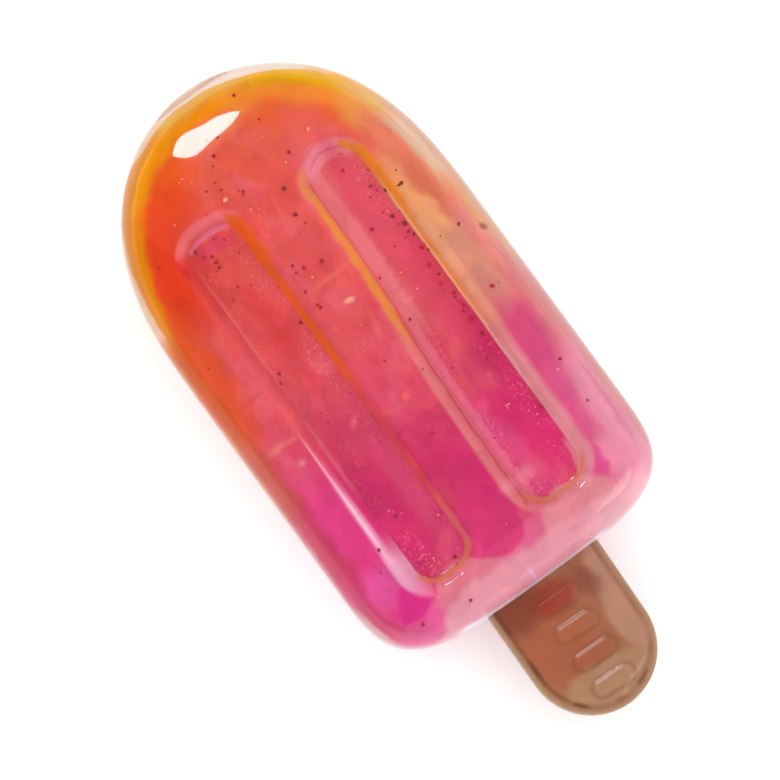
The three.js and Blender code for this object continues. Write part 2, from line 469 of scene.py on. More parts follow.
# soft drifts of pinker and redder gel: colour, size in mm, which part of the noise, strength
heartDrifts = [("#e87488", 3.4, 0, 0.4), ("#d23a44", 2.8, 40, 0.3), ("#e8765c", 2.2, 80, 0.25)]

# bands round the edge, told by height: colour, mm across, from the tip, above the middle plane, how much the
# height falls for each mm from the tip, fade, strength. 30 mm across lies past a side, and -5 past the tip.
# these bands are partly the gel's own colours and partly painted light and shade: the amber bands and pale
# rims are painted light coming through the rounded edges, and the darker bands on the left are painted shade
# at the edge
heartRims = [
    ("#b84a1e", (-30, -10), (36, 47), (rimFoot, 4.6), 0, 2, 0.8),
    ("#ac4c30", (-30, -10), (46, 59), (rimFoot, 5.6), 0, 2, 0.75),
    ("#b03a44", (-30, -10), (58, 70), (rimFoot, 5.6), 0, 2, 0.75),
    ("#b03a54", (-30, -10), (70, 79), (rimFoot, 5.4), 0, 2, 0.75),
    ("#be4a02", (-30, -2), (27, 39), (rimFoot, 4.4), 0.08, 2, 0.9),
    ("#d47800", (-30, -15.8), (11, 28), (rimFoot, 7.5), 0.21, 1.6, 1.0),
    ("#e48a04", (-18, 9), (-5, 12), (rimFoot, 6.6), 0, 1.6, 1.0),
    ("#e8922a", (3, 12), (-5, 9), (rimFoot, 8.2), 0, 1.4, 0.8),
    ("#e68a26", (7, 30), (-5, 14.5), (rimFoot, 8.6), 0.2, 1.8, 0.9),
    ("#c07000", (-30, 9), (-5, 28), (rimFoot, 2.8), 0.04, 2, 0.9),
    ("#cfa044", (-6, 9), (-5, 7.5), (rimFoot, 4.4), 0, 1.6, 0.6),
    ("#d09004", (7, 30), (-5, 14.5), (rimFoot, 6.3), 0, 1.6, 0.95),
    ("#cc9450", (15, 30), (14, 20), (rimFoot, 4.6), 0, 1.4, 0.95),
    ("#c9a288", (16.5, 30), (20, 32), (rimFoot, 5.4), 0, 1.4, 0.95),
    ("#ce865e", (16.5, 30), (31, 42), (rimFoot, 4.2), 0.12, 1.4, 0.9),
    ("#bd6c6a", (16.5, 30), (42, 60), (rimFoot, 4.6), 0, 2.4, 0.85),
    ("#c06c80", (16.5, 30), (60, 78), (rimFoot, 4.6), 0, 2.4, 0.8),
    ("#c87e3c", (-30, -2), (31, 58), (rimFoot, -0.3), 0, 1.0, 0.7),
    ("#c08478", (-30, -2), (56, 80), (rimFoot, -0.3), 0, 1.0, 0.8),
    ("#cc9aa0", (-30, -12), (73, 84), (rimFoot, 1.0), 0, 1.2, 0.8),
    ("#d4ae90", (-30, 1.5), (-5, 27), (rimFoot, -2.7), -0.135, 1.0, 0.9),
    ("#bd9076", (2, 30), (17, 48), (rimFoot, -0.9), 0, 1.0, 0.9),
    ("#bc7c76", (2, 30), (46, 80), (rimFoot, -0.9), 0, 1.0, 0.9),
    ("#d2c0b0", (-1.5, 30), (-5, 15), (rimFoot, 0.8), 0.15, 1.0, 0.95),
    ("#d4c8c2", (-18, 18), (-5, 10), (-7.6, -4), 0, 1.6, 1.0),
    ("#e2c09a", (-11, 9), (-5, 8.5), (-8.8, -6.6), 0, 1.0, 0.85),
]

# the stick showing darkly through, and the lilac line along the bar's end, a painted highlight: told in the
# same way
stickThroughAndHeelHighlight = [
    ("#c22c62", (-4.7, 4.9), (56.6, 76.8), (0, 12), 0, 0.12, 0.28),
    ("#f2eaff", (-13.5, 10.5), (80, 92), (0, 3.8), 0, 1.5, 1.0),
]

# lines along the grooves: which side, colour, mm across from the groove's middle, mm outside its outline, mm
# from the tip, fades of the three, strength
heartLines = [
    (-1, "#e0646c", (-6.0, -3.2), (-2.4, 0.2), (18, 54), (0.6, 0.6, 6), 0.3),
    (-1, "#e88e98", (-4.5, -3.9), (-3, 0.2), (24, 42), (0.6, 0.5, 6), 0.4),
    (-1, "#d0202c", (-5.8, -5.4), (-3, 1.2), (19, 23), (0.3, 0.5, 2), 0.6),
    (-1, "#e6809c", (-5.0, -4.2), (-3, 0.2), (48, 60), (0.6, 0.5, 5), 0.5),
    # the pale and lilac arcs at the left groove's tip end are painted highlights
    (-1, "#ee8c98", (-6, 6), (-0.6, 0.4), (14, 19.5), (0.6, 0.7, 1.6), 0.55),
    (-1, "#f08ab0", (-3.6, 4.6), (-1.8, -0.8), (14, 19.8), (0.8, 0.5, 1.6), 0.7),
    (-1, "#de3e6c", (-4, 3), (-4.4, -2.2), (17, 22), (1, 0.8, 2), 0.5),
    (-1, "#e4661e", (3.7, 5.8), (-1.6, 0.2), (16.8, 27), (0.9, 0.7, 3), 0.9),
    (-1, "#e56820", (4.0, 5.3), (-1.5, 0.2), (24, 48), (0.8, 0.6, 7), 0.9),
    (-1, "#d8564c", (4.1, 5.2), (-1.4, 0.1), (46, 68), (0.6, 0.5, 6), 0.6),
    (-1, "#e08868", (4.0, 5.2), (-1.4, -0.2), (67, 75), (0.6, 0.5, 4), 0.55),
    # the pale pink and white strip on the left groove's outer wall is a painted highlight
    (-1, "#ecbcd2", (-7, -3.6), (-1.4, 1.0), (69, 76), (0.5, 0.6, 6), 0.8),
    (-1, "#e69cc4", (-7, -3.9), (0.05, 0.8), (60, 76), (0.5, 0.45, 10), 0.65),
    (-1, "#f4c8d8", (-7, -4.0), (0.1, 0.3), (50, 62), (0.5, 0.3, 4), 0.6),
    (-1, "#f6d8e8", (-7, -4.0), (0.0, 0.5), (58, 69), (0.5, 0.4, 12), 0.8),
    (-1, "#e08a52", (-4.6, 5.4), (-1.5, -0.5), (74, 80), (0.6, 0.5, 2), 0.7),
    (1, "#ea9098", (-4.6, -1.8), (-6, -1.2), (17, 47), (0.8, 0.5, 6), 0.5),
    (1, "#ec8aa4", (-4.6, -3.0), (-6, -1.4), (45, 76), (0.6, 0.5, 6), 0.5),
    (1, "#e09aa0", (3.0, 5.6), (-2.6, -0.9), (71, 78), (0.8, 0.5, 2), 0.6),
    (1, "#e89a44", (-5.75, -4.9), (-1.3, 0.4), (22, 48), (0.55, 0.6, 5), 0.95),
    # the beige-pink strip on the right groove's inner wall is a painted reflection
    (1, "#dc8484", (-6.5, -3.4), (-1.4, 0.5), (47, 78), (0.8, 0.6, 8), 0.75),
    (1, "#c83a50", (-5.15, -4.8), (-1.6, 0.2), (44, 76), (0.3, 0.4, 6), 0.6),
    # the pale arc at the right groove's tip end is a painted highlight
    (1, "#f09cb0", (-6, 6), (-2.9, -0.1), (14, 21.4), (0.8, 0.7, 2.4), 0.75),
    (1, "#d8508c", (-4, 4), (-1.4, -1.0), (14, 20), (1, 0.3, 1), 0.45),
    (1, "#e6b08c", (4.7, 6.4), (-1.2, 0.4), (32, 53), (0.6, 1.0, 8), 0.75),
    (1, "#ea962a", (4.5, 5.7), (-1.2, 0.1), (21.6, 33), (0.5, 0.6, 5), 0.9),
    (1, "#ee9e40", (4.5, 5.2), (-1.5, 0.1), (30, 47), (0.4, 0.6, 10), 0.75),
    (1, "#ea962a", (2.6, 6.0), (-1.5, -0.3), (18, 24), (1.0, 0.4, 1.6), 0.85),
    (1, "#ea9c60", (-6.5, -4.0), (-0.6, 0.2), (19.4, 24), (1.0, 0.5, 2), 0.6),
    (1, "#f2cc9c", (4.3, 4.75), (-1.5, 0.2), (28, 62), (0.35, 0.4, 8), 0.8),
    (1, "#e6b0b0", (2.8, 5.9), (-1.6, 0.2), (53, 78), (0.8, 0.6, 8), 0.75),
    (1, "#cc6c4e", (-5.2, -1.2), (-1.3, -0.2), (74, 80), (0.8, 0.6, 2), 0.55),
    (1, "#dc8c58", (-5.2, 5.2), (-1.5, -0.6), (74, 80), (0.6, 0.5, 2), 0.65),
]

# pale and dark smudges of pulp, told as the patches are
heartSmudges = [
    ("#de4e6e", (11.1, 35.2), (2.7, 16.9), 0, 1.2, 0.6),
    ("#ec907c", (-19.2, 48.7), (1.2, 0.45), 6, 0.8, 0.5),
    ("#ec907c", (-17.3, 49.0), (0.9, 0.3), -8, 0.7, 0.45),
    ("#ee8278", (0.3, 34.1), (3.0, 0.35), 3, 0.7, 0.4),
    ("#c4403a", (-18.3, 41.3), (1.3, 0.3), 0, 0.7, 0.35),
    ("#efaab0", (-17.6, 52.4), (0.5, 0.4), 0, 0.8, 0.5),
    ("#f07068", (-0.9, 53.4), (0.5, 0.5), 0, 0.5, 0.8),
    ("#f2ae98", (0.6, 38.3), (0.7, 0.4), -10, 0.5, 0.9),
    ("#eb8c8a", (-8.6, 52.0), (0.8, 0.4), 40, 0.9, 0.4),
    ("#ec9090", (17.4, 34.0), (0.7, 0.5), 0, 0.6, 0.5),
    ("#f0a4b8", (6.2, 71.5), (1.2, 1.0), 0, 1.4, 0.4),
    ("#ec98b0", (3.0, 71.6), (1.0, 0.8), 0, 1.4, 0.35),
    ("#b83a58", (0.9, 65.8), (1.6, 0.25), 0, 0.5, 0.45),
    ("#c86a78", (21.2, 70.0, 2), (1.0, 0.5, 4), 10, 0.6, 0.5),
    ("#c8647a", (21.4, 72.4, 2), (0.8, 0.4, 4), -10, 0.6, 0.4),
    ("#7c4a38", (21.2, 40, 1.4), (1.8, 0.6, 1.9), 0, 0.7, 0.9),
    ("#e6b8e2", (-1.0, 82.8, 8), (0.3, 1.0, 4), 0, 0.5, 0.7),
    ("#c2202e", (13.1, 34.8), (0.35, 0.3), 0, 0.3, 0.8),
    ("#c41c34", (13.2, 37.8), (0.4, 0.36), 0, 0.3, 0.85),
    ("#c8243c", (12.6, 40.3), (0.36, 0.4), 0, 0.3, 0.8),
    ("#cc2240", (12.4, 43.4), (0.36, 0.3), 0, 0.3, 0.7),
]


def paintRims(tree, place, colour, rims):
    split = addNode(tree, "ShaderNodeSeparateXYZ", links={"Vector": place}).outputs
    for hexValue, across, fromTip, (low, high), slope, fade, strength in rims:
        level = addNode(tree, "ShaderNodeMath", {"operation": "MULTIPLY_ADD", 1: slope},
                        {0: split["Y"], 2: split["Z"]}).outputs[0]
        start = slope * fromTip[0]
        masks = [between(tree, split["X"], *across, 2 * fade),
                 between(tree, split["Y"], *fromTip, 4 * fade),
                 between(tree, level, low + start, high + start, fade)]
        colour = laidOver(tree, colour, whereAll(tree, masks, strength), hexValue)
    return colour


def paintLines(tree, place, push, colour, lines):
    split = addNode(tree, "ShaderNodeSeparateXYZ", links={"Vector": place}).outputs
    edge = addNode(tree, "ShaderNodeAttribute", {"attribute_name": "grooveEdge"}).outputs["Fac"]
    across = addNode(tree, "ShaderNodeAttribute", {"attribute_name": "grooveAcross"}).outputs["Fac"]
    across = addNode(tree, "ShaderNodeMath", {"operation": "ADD"}, {0: across, 1: push}).outputs[0]
    onRight = addNode(tree, "ShaderNodeMath", {"operation": "GREATER_THAN", 1: 0.0}, {0: split["X"]})
    onLeft = addNode(tree, "ShaderNodeMath", {"operation": "SUBTRACT", 0: 1.0}, {1: onRight.outputs[0]})
    sides = {1: onRight.outputs[0], -1: onLeft.outputs[0]}
    for side, hexValue, reach, outside, fromTip, fades, strength in lines:
        masks = [sides[side],
                 between(tree, across, *reach, fades[0]),
                 between(tree, edge, *outside, fades[1]),
                 between(tree, split["Y"], *fromTip, fades[2])]
        colour = laidOver(tree, colour, whereAll(tree, masks, strength), hexValue)
    return colour


def drifted(tree, place, colour, drifts):
    for hexValue, size, part, strength in drifts:
        moved = addNode(tree, "ShaderNodeVectorMath", {
            "operation": "MULTIPLY_ADD", 1: (1, 0.6, 1), 2: (part, 0, 0)}, {0: place})
        wave = addNode(tree, "ShaderNodeTexNoise", {"Scale": 1 / size, "Detail": 3.0},
                       {"Vector": moved.outputs[0]})
        mask = addNode(tree, "ShaderNodeMapRange", {
            "From Min": 0.5, "From Max": 0.66, "To Max": strength}, {"Value": wave.outputs["Fac"]})
        colour = laidOver(tree, colour, mask.outputs["Result"], hexValue)
    return colour


def clouded(tree, place, colour, form):
    # lighter and darker by smooth noise and by crystals, which are long along the bar
    cloud = addNode(tree, "ShaderNodeTexNoise", {"Scale": 1 / form["cloudSize"], "Detail": 3.0},
                    {"Vector": place})
    long = addNode(tree, "ShaderNodeVectorMath", {"operation": "MULTIPLY", 1: (1, 0.5, 1)}, {0: place})
    crystal = addNode(tree, "ShaderNodeTexVoronoi", {"Scale": 1 / form["facetSize"]},
                      {"Vector": long.outputs[0]})
    tone = addNode(tree, "ShaderNodeSeparateColor", links={"Color": crystal.outputs["Color"]})
    darkest = form["shade"] - form["cloud"] - form["facet"] / 2
    light = addNode(tree, "ShaderNodeMath", {
        "operation": "MULTIPLY_ADD", 1: 2 * form["cloud"], 2: darkest}, {0: cloud.outputs["Fac"]})
    both = addNode(tree, "ShaderNodeMath", {"operation": "MULTIPLY_ADD", 1: form["facet"]},
                   {0: tone.outputs[0], 2: light.outputs[0]})
    shaded = addNode(tree, "ShaderNodeVectorMath", {"operation": "SCALE"},
                     {0: colour, "Scale": both.outputs[0]})
    return shaded.outputs[0]


def frosted(tree, place, colour):
    # fine pale crystals on the groove floors, in drifts
    edge = addNode(tree, "ShaderNodeAttribute", {"attribute_name": "grooveEdge"}).outputs["Fac"]
    grain = addNode(tree, "ShaderNodeTexNoise", {"Scale": 1 / heart["frostSize"], "Detail": 2.0},
                    {"Vector": place})
    drift = addNode(tree, "ShaderNodeTexNoise", {"Scale": 1 / heart["frostDriftSize"], "Detail": 1.0},
                    {"Vector": place})
    low, high = heart["frostGrain"]
    sharp = addNode(tree, "ShaderNodeMapRange", {
        "From Min": low, "From Max": high, "To Max": heart["frostStrength"]},
        {"Value": grain.outputs["Fac"]})
    low, high = heart["frostDrift"]
    patchy = addNode(tree, "ShaderNodeMapRange", {
        "From Min": low, "From Max": high, "To Min": heart["frostThinnest"]},
        {"Value": drift.outputs["Fac"]})
    masks = [sharp.outputs["Result"], patchy.outputs["Result"], between(tree, edge, *heart["frostPlace"])]
    return laidOver(tree, colour, whereAll(tree, masks), heart["frost"])


def cloudyGel():
    material, tree = newMaterial("cloudy fruit gel")
    place = placeInMm(tree, bar["tipY"])
    patchPlace = stirred(tree, place, heart["stir"], heart["stirSize"])
    linePlace = stirred(tree, place, heart["lineStir"], heart["lineStirSize"])
    fromTip = addNode(tree, "ShaderNodeSeparateXYZ", links={"Vector": patchPlace}).outputs["Y"]
    push = addNode(tree, "ShaderNodeVectorMath", {"operation": "SUBTRACT"}, {0: linePlace, 1: place})
    push = addNode(tree, "ShaderNodeSeparateXYZ", links={"Vector": push.outputs[0]}).outputs["X"]
    colour = rampAlong(tree, fromTip, heartMiddle, bar["length"] / mm)
    colour = drifted(tree, patchPlace, colour, heartDrifts)
    # patches, the beige ones down the right side painted light
    colour = paintZones(tree, patchPlace, colour, heartPatches)
    # bands round the edge, partly painted light and shade
    colour = paintRims(tree, patchPlace, colour, heartRims)
    # the stick showing through, and the painted highlight along the bar's end
    colour = paintRims(tree, linePlace, colour, stickThroughAndHeelHighlight)
    # lines along the grooves, some of them painted highlights and a painted reflection
    colour = paintLines(tree, linePlace, push, colour, heartLines)
    colour = paintZones(tree, linePlace, colour, heartSmudges)
    colour = clouded(tree, patchPlace, colour, heart)
    colour = frosted(tree, place, colour)
    surface = addNode(tree, "ShaderNodeBsdfPrincipled", {
        "Roughness": 0.6, "Specular IOR Level": 0.0, "Subsurface Weight": 1.0,
        "Subsurface Scale": heart["softness"], "Subsurface Radius": heart["reddening"],
    }, {"Base Color": colour})
    finishMaterial(tree, surface)
    return material


points, faces, fields = barMesh(heart)
barHeart = meshPiece("bar_heart", points, faces, cloudyGel(), fields=fields)
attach(barHeart, "root")
heartTree = BVHTree.FromPolygons([Vector(point) for point in points], faces)
print("cloudy heart ready")

# What is sunk in the skin: crushed seed, flecks of pulp and air bubbles. Radii and depths are in mm. Where a
# kind gathers is told by mm across, mm from the tip, the gathering's width and length, and its share.
inclusions = {
    "seed": {
        "count": 170, "radius": (0.12, 0.32), "depth": (0.2, 0.8), "flat": 0.6, "rough": 0.35, "seed": 4,
        "gather": [(12.2, 32, 2.4, 9, 0.22), (-11, 22, 2.6, 2.4, 0.06), (-3, 22, 5, 9, 0.1)],
    },
    "pulp": {
        "count": 34, "radius": (0.14, 0.3), "depth": (0.1, 0.5), "flat": 0.35, "rough": 0.3, "seed": 9,
        "gather": [],
    },
    "bubble": {
        "count": 80, "radius": (0.07, 0.16), "depth": (0.2, 0.9), "flat": 1.0, "rough": 0.0, "seed": 21,
        "gather": [(11, 67, 3, 4, 0.16), (-12, 72, 3, 4, 0.14), (6.1, 71, 1.6, 1.2, 0.16),
                   (3, 71.4, 1.4, 1.0, 0.12)],
    },
}
sprinkle = {
    "across": 0.46, "along": (0.04, 0.97),     # shares of the bar's width and length
    "inFront": 0.6,                            # the share in the front face
    "clear": 50 * mm,                          # well above either face
    "steepest": 0.75,                          # of the face under it, as the upright part of its normal
    "stretch": ((0.75, 1.3), (0.75, 1.2)),
    "lumps": 1.4, "lumpGap": 3.7,              # how fine its lumps are, and the noise between two of a kind
}


def makeBall():
    # a once-divided icosahedron, unit radius
    source = bpy.data.meshes.new("ball")
    form = bmesh.new()
    bmesh.ops.create_icosphere(form, subdivisions=2, radius=1.0)
    form.to_mesh(source)
    form.free()
    points = [vertex.co.copy() for vertex in source.vertices]
    faces = [tuple(face.vertices) for face in source.polygons]
    bpy.data.meshes.remove(source)
    return points, faces


ballPoints, ballFaces = makeBall()


def sunkPlace(draw, kind):
    # a place on the front or back face, above the heart by the kind's depth, at times where its kind gathers
    while True:
        x = draw.uniform(-sprinkle["across"], sprinkle["across"]) * bar["width"]
        fromTip = draw.uniform(*sprinkle["along"]) * bar["length"]
        front = 1 if draw.random() < sprinkle["inFront"] else -1
        chance = draw.random()
        for middle, along, wide, long, share in inclusions[kind]["gather"]:
            if 0 <= chance < share:
                x = draw.gauss(middle, wide / 2) * mm
                fromTip = draw.gauss(along, long) * mm
            chance -= share
        start = Vector((x, bar["tipY"] - fromTip, front * sprinkle["clear"]))
        hit, normal = heartTree.ray_cast(start, Vector((0, 0, -front)))[:2]
        if hit is not None and abs(normal.z) >= sprinkle["steepest"]:
            return hit + normal * draw.uniform(*inclusions[kind]["depth"]) * mm


def scatter(kind, material):
    form = inclusions[kind]
    draw = random.Random(form["seed"])
    points, faces, tones = [], [], []
    for item in range(form["count"]):
        centre = sunkPlace(draw, kind)
        low, high = form["radius"]
        radius = (low + (high - low) * draw.random() ** 2) * mm
        turn = Matrix.Rotation(draw.uniform(0, math.tau), 3, "Z")
        stretch = Vector([draw.uniform(*reach) for reach in sprinkle["stretch"]] + [form["flat"]])
        start = len(points)
        offset = Vector((item * sprinkle["lumpGap"], 0, 0))
        for ballPoint in ballPoints:
            grown = 1 + form["rough"] * noise.noise(ballPoint * sprinkle["lumps"] + offset) * 2
            place = Vector(a * b for a, b in zip(ballPoint, stretch)) * grown * radius
            points.append(centre + turn @ place)
        faces += [tuple(start + corner for corner in face) for face in ballFaces]
        tones += [draw.random()] * len(ballPoints)
    piece = meshPiece("gel_" + kind + "s", points, faces, material, fields={"tone": tones})
    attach(piece, "root")


def fleckGel(name, stops, roughness):
    # wet fruit flesh and seed coat, each fleck its own tone
    material, tree = newMaterial(name)
    tone = addNode(tree, "ShaderNodeAttribute", {"attribute_name": "tone"}).outputs["Fac"]
    colour = rampAlong(tree, tone, stops, 1)
    surface = addNode(tree, "ShaderNodeBsdfPrincipled", {
        "Roughness": roughness, "Specular IOR Level": 0.05}, {"Base Color": colour})
    finishMaterial(tree, surface)
    return material


seedTones = [(0.0, "#7c3a2a"), (0.3, "#8c2c34"), (0.7, "#a82a38"), (1.0, "#c42834")]
pulpTones = [(0.0, "#e48a70"), (0.5, "#e89488"), (0.85, "#ec8848"), (1.0, "#ec6048")]
bubbleTones = [(0.0, "#e4788c"), (1.0, "#ee9cac")]
scatter("seed", fleckGel("seed coat", seedTones, 0.5))
scatter("pulp", fleckGel("fruit pulp", pulpTones, 0.6))
scatter("bubble", fleckGel("trapped air", bubbleTones, 0.3))
print("seeds, pulp and bubbles ready")

# The stick: a short wide plate of caramel gel, moulded in one piece with its four ribs.
stick = {
    "width": 18.6 * mm, "thickness": 4.8 * mm, "shown": 20.9 * mm, "sunk": 28 * mm,
    "taper": 0.016,                        # how much narrower the free end is
    "edge": 1.3 * mm, "tuckCorner": 3 * mm, "lean": 1.5,
    "rimLine": 1.05 * mm, "rimLineWidth": 0.3 * mm, "rimLineDepth": 0.08 * mm,
    "ribs": 4, "ribLength": 6.6 * mm, "ribWidth": 2.5 * mm, "ribHeight": 0.5 * mm,
    "ribPitch": 4.5 * mm, "ribFirst": 3.6 * mm,
    "ribRound": 0.3,                       # the share of a rib's width over which it rises
    "wobble": 0.05 * mm, "wobbleSize": 3.5 * mm,
    "step": 0.28 * mm, "arcSteps": 60, "sunkSteps": 16, "tuckSteps": 8, "endSteps": 7,
    "edgeSteps": 11, "backSteps": 14,
    "middle": 0.03 * mm,                   # the last ring's distance from the middle line
    "leastCorner": 0.05 * mm,
    "cloud": 0.12, "cloudSize": 3, "facet": 0.05, "facetSize": 2.6, "shade": 0.92,
    "stir": 1.0, "stirSize": 3,
    "palest": ("#a9805f", (-1, 0.75, 0.5)),       # the rim: mm in from the edge, and the fade
    "rimDark": ("#74452a", (0.75, 1.4, 0.6)),     # the line inside it
    "ribShade": ("#94523a", (-0.25, 0.35, 0.7), 0.35),   # painted shade round each rib: mm outside it, fade, strength
    "darkFrom": -8.0, "darkTo": 8.0, "darkLeft": 0.5,   # the line fades between these mm across
    "breakSize": 3.5, "breaks": (0.4, 0.6), "breakLeft": 0.35,
    "colourLength": 22,                                 # mm
    "softness": 1.0 * mm, "reddening": (1.0, 0.5, 0.25),
}


def stickOutline(inset):
    # one closed ring of points, inset from the stick's outline, starting at the left of the free end's arc
    half = stick["width"] / 2 - inset
    free = stick["width"] / 2 - stick["shown"]
    corner = max(stick["tuckCorner"] - inset, stick["leastCorner"])
    corner = min(corner, half / 2)
    top = stick["sunk"] - inset
    bend = np.linspace(np.pi, 2 * np.pi, stick["arcSteps"])
    arc = np.stack([half * np.cos(bend), free + half * np.sin(bend)], -1)
    shownRise = np.linspace(free, 0, int(-free / stick["step"]))[1:]
    sunkRise = np.linspace(0, top - corner, stick["sunkSteps"])[1:]
    rise = np.concatenate([shownRise, sunkRise])
    side = np.stack([np.full(len(rise), half), rise], -1)
    turn = np.linspace(0, np.pi / 2, stick["tuckSteps"])[1:]
    tuck = np.stack([half - corner + corner * np.cos(turn), top - corner + corner * np.sin(turn)], -1)
    across = np.linspace(half - corner, 0, stick["endSteps"])[1:-1]
    flat = np.stack([across, np.full(len(across), top)], -1)
    rightHalf = np.vstack([side, tuck, flat])
    leftHalf = rightHalf[::-1] * (-1, 1)
    return np.vstack([arc, rightHalf, leftHalf])


def ribDistance(x, y):
    # how far a point lies outside the nearest rib's outline
    half = stick["ribWidth"] / 2
    along = np.maximum(np.abs(x) - stick["ribLength"] / 2 + half, 0)
    middles = [-stick["ribFirst"] - rib * stick["ribPitch"] for rib in range(stick["ribs"])]
    return np.min([np.hypot(along, y - middle) for middle in middles], axis=0) - half


def stickRelief(x, y, inset):
    # the front face's height over the flat: a fine line inside the rim, and the ribs
    inside = np.clip(-ribDistance(x, y) / (stick["ribRound"] * stick["ribWidth"]), 0, 1)
    dome = np.sqrt(1 - (1 - inside) ** 2)
    line = bump(inset, stick["rimLine"], stick["rimLineWidth"])
    return stick["ribHeight"] * dome - stick["rimLineDepth"] * line


def stickMesh():
    # rings from the middle of the back, round the edge, to the middle of the front
    halfThickness = stick["thickness"] / 2
    edge = stick["edge"]
    last = stick["width"] / 2 - stick["middle"]
    frontInsets = np.append(np.arange(edge, last, stick["step"])[1:], last)
    backInsets = np.linspace(edge, last, stick["backSteps"])[1:]
    bend = np.linspace(0, np.pi / 2, stick["edgeSteps"])
    rounding = [(edge * (1 - np.cos(a)), halfThickness - edge * (1 - np.sin(a))) for a in bend]
    profile = [(inset, -halfThickness) for inset in backInsets[::-1]]
    profile += [(inset, -height) for inset, height in rounding[::-1]]
    profile += [(inset, height) for inset, height in rounding[1:]]
    profile += [(inset, halfThickness) for inset in frontInsets]
    rings = []
    for place, (inset, height) in enumerate(profile):
        outline = stickOutline(inset)
        relief = 0
        if place >= len(profile) - len(frontInsets):
            relief = stickRelief(outline[:, 0], outline[:, 1], inset)
        rings.append(np.column_stack([outline, np.full(len(outline), height) + relief]))
    count = len(rings[0])
    points = np.vstack(rings)
    fromEdge = np.repeat(np.array([inset for inset, height in profile]) / mm, count)
    fromRib = np.where(points[:, 2] > 0, ribDistance(points[:, 0], points[:, 1]) / mm, stick["width"] / mm)
    around = np.arange(count)
    onward = (around + 1) % count
    faces = []
    for here in range(0, len(points) - count, count):
        there = here + count
        faces += [(here + a, here + b, there + b, there + a) for a, b in zip(around, onward)]
    # strips close the slit down the middle of both faces, where each point meets its mirror image
    top = len(points) - count
    arcSteps = stick["arcSteps"]
    for k in range(arcSteps // 2, arcSteps // 2 + count // 2 - 1):
        strip = [corner % count for corner in (k, k + 1, arcSteps - 2 - k, arcSteps - 1 - k)]
        faces.append(tuple(top + corner for corner in strip))
        faces.append(tuple(strip[::-1]))
    for point in points:
        point[2] += noise.noise(Vector(point) / stick["wobbleSize"]) * stick["wobble"]
    lean = math.radians(stick["lean"])
    x, y = points[:, 0].copy(), points[:, 1].copy()
    x *= 1 - stick["taper"] * np.clip(-y / stick["shown"], 0, 1)
    points[:, 0] = x * math.cos(lean) + y * math.sin(lean)
    points[:, 1] = bar["heelY"] - x * math.sin(lean) + y * math.cos(lean)
    points[:, 2] += bar["middleZ"]
    return points, faces, {"fromEdge": fromEdge, "fromRib": fromRib}


# its colours, told as the bar's but from the bar's end
stickMiddle = [(0, "#a4654c"), (10, "#ac6c4c"), (20, "#a4724e")]
stickPatches = [
    ("#b0603e", (-4, 9), (5.5, 6), 0, 5, 0.8),
    ("#a4583c", (-1, 12.6), (4.6, 2.4), 0, 2.4, 0.4),
    # the lighter band down the right is a painted reflection of a window
    ("#bb8a72", (7.3, 9), (3.0, 9.5), -6, 1.2, 0.85),
    ("#b48868", (0, 17.2), (7.4, 3.2), -12, 1.2, 0.85),
    # the red patches near the bar's end are a painted glow of light coloured by the bar
    ("#8c4026", (-6, 1.6), (5.0, 3.0), 0, 3, 0.85),
    ("#a02c1c", (-0.4, 3.4), (3.4, 2.4), 0, 2, 0.7),
    ("#8a4a34", (4.8, 4.0), (1.4, 2.4), 20, 1.4, 0.6),
    # the thin pale streak is a painted glint
    ("#dcb89c", (2.4, 18.0), (2.2, 0.25), 27, 0.5, 0.5),
]


def caramelGel():
    material, tree = newMaterial("moulded caramel gel")
    place = placeInMm(tree, bar["heelY"])
    patchPlace = stirred(tree, place, stick["stir"], stick["stirSize"])
    edge = addNode(tree, "ShaderNodeAttribute", {"attribute_name": "fromEdge"}).outputs["Fac"]
    rib = addNode(tree, "ShaderNodeAttribute", {"attribute_name": "fromRib"}).outputs["Fac"]
    split = addNode(tree, "ShaderNodeSeparateXYZ", links={"Vector": patchPlace})
    colour = rampAlong(tree, split.outputs["Y"], stickMiddle, stick["colourLength"])
    # patches, among them a painted reflection, a painted glint and a painted red glow
    colour = paintZones(tree, patchPlace, colour, stickPatches)
    palest, reach = stick["palest"]
    colour = laidOver(tree, colour, between(tree, edge, *reach), palest)
    # the line inside the rim fades towards the right and breaks up
    rightwards = addNode(tree, "ShaderNodeMapRange", {
        "From Min": stick["darkFrom"], "From Max": stick["darkTo"], "To Min": 1.0,
        "To Max": stick["darkLeft"]}, {"Value": split.outputs["X"]})
    breaks = addNode(tree, "ShaderNodeTexNoise", {"Scale": 1 / stick["breakSize"], "Detail": 1.0},
                     {"Vector": place})
    low, high = stick["breaks"]
    broken = addNode(tree, "ShaderNodeMapRange", {
        "From Min": low, "From Max": high, "To Min": stick["breakLeft"]}, {"Value": breaks.outputs["Fac"]})
    dark, reach = stick["rimDark"]
    masks = [between(tree, edge, *reach), rightwards.outputs["Result"], broken.outputs["Result"]]
    colour = laidOver(tree, colour, whereAll(tree, masks), dark)
    # painted shade round each rib
    dark, reach, strength = stick["ribShade"]
    colour = laidOver(tree, colour, whereAll(tree, [between(tree, rib, *reach)], strength), dark)
    colour = clouded(tree, patchPlace, colour, stick)
    surface = addNode(tree, "ShaderNodeBsdfPrincipled", {
        "Roughness": 0.36, "IOR": 1.38, "Subsurface Weight": 0.7,
        "Subsurface Scale": stick["softness"], "Subsurface Radius": stick["reddening"],
    }, {"Base Color": colour})
    finishMaterial(tree, surface)
    return material


points, faces, fields = stickMesh()
stickBody = meshPiece("stick_body", points, faces, caramelGel(), fields=fields)
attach(stickBody, "root")
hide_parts("stick")
print("stick ready")

# the table, the room's light and the camera
room = {"floorSize": 4.0, "floorDrop": 0.1 * mm, "floorGlow": 0.16, "world": 1.1, "reflected": 0.3}


